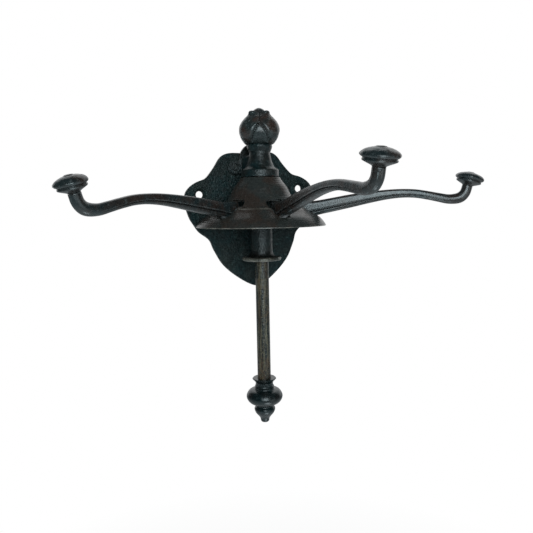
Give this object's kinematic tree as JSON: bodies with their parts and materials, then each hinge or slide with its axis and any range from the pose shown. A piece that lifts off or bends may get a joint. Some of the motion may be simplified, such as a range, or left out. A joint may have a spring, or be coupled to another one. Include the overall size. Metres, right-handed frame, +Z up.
{
  "type": "sliding coat hook",
  "caption": "Wall-mounted cast iron coat hook: knobbed arms hinged in a bell that slides on an upright rod, between a bud finial and a ball finial.",
  "frame": {"origin": "midway between the two wall screw holes, on the wall plate's back face", "axes": "+Z up along the rod, +Y into the wall, -Y out into the room, +X to the right as seen from the room"},
  "size_m": [0.3136, 0.1967, 0.2579],
  "materials": {
    "plate_iron": "blackened sand casting, fine pits, satin",
    "bracket_iron": "blackened casting, satin, worn on its edges",
    "bell_iron": "blackened turned casting, satin, browned by handling",
    "arm_iron": "blackened casting, satin, worn on its edges",
    "rod_steel": "dark oxidised steel with upright wear streaks",
    "small_steel": "dark oxidised steel"
  },
  "bodies": {
    "fixed_frame": {"wall_plate": "plate_iron", "bracket": "bracket_iron", "bracket_screws": "small_steel", "rod": "rod_steel", "finial_ring": "bracket_iron", "bud_finial": "bracket_iron", "lower_stop": "bracket_iron", "ball_finial": "bracket_iron"},
    "runner": {"bell": "bell_iron", "sleeve": "bell_iron", "crown_nut": "small_steel", "grip_spring": "small_steel", "hinge_pin_left": "small_steel", "hinge_pin_centre": "small_steel", "hinge_pin_right": "small_steel"},
    "arm_left": {"arm_left": "arm_iron", "knob_left": "arm_iron"},
    "arm_centre": {"arm_centre": "arm_iron", "knob_centre": "arm_iron"},
    "arm_right": {"arm_right": "arm_iron", "knob_right": "arm_iron"}
  },
  "joints": [
    {"name": "runner_slide", "type": "slide", "parent": "fixed_frame", "child": "runner", "axis": [0, 0, -1], "range_m": [0, 0.0984]},
    {"name": "arm_left_hinge", "type": "hinge", "parent": "runner", "child": "arm_left", "pos_m": [-0.02752, -0.03799, -0.01884], "axis": [-0.4633, 0.8862, 0], "range_deg": [0, 55]},
    {"name": "arm_centre_hinge", "type": "hinge", "parent": "runner", "child": "arm_centre", "pos_m": [0.00022, -0.05454, -0.02014], "axis": [-1, -0.007, 0], "range_deg": [0, 55]},
    {"name": "arm_right_hinge", "type": "hinge", "parent": "runner", "child": "arm_right", "pos_m": [0.02767, -0.03758, -0.0193], "axis": [-0.4509, -0.8926, 0], "range_deg": [0, 55]}
  ]
}
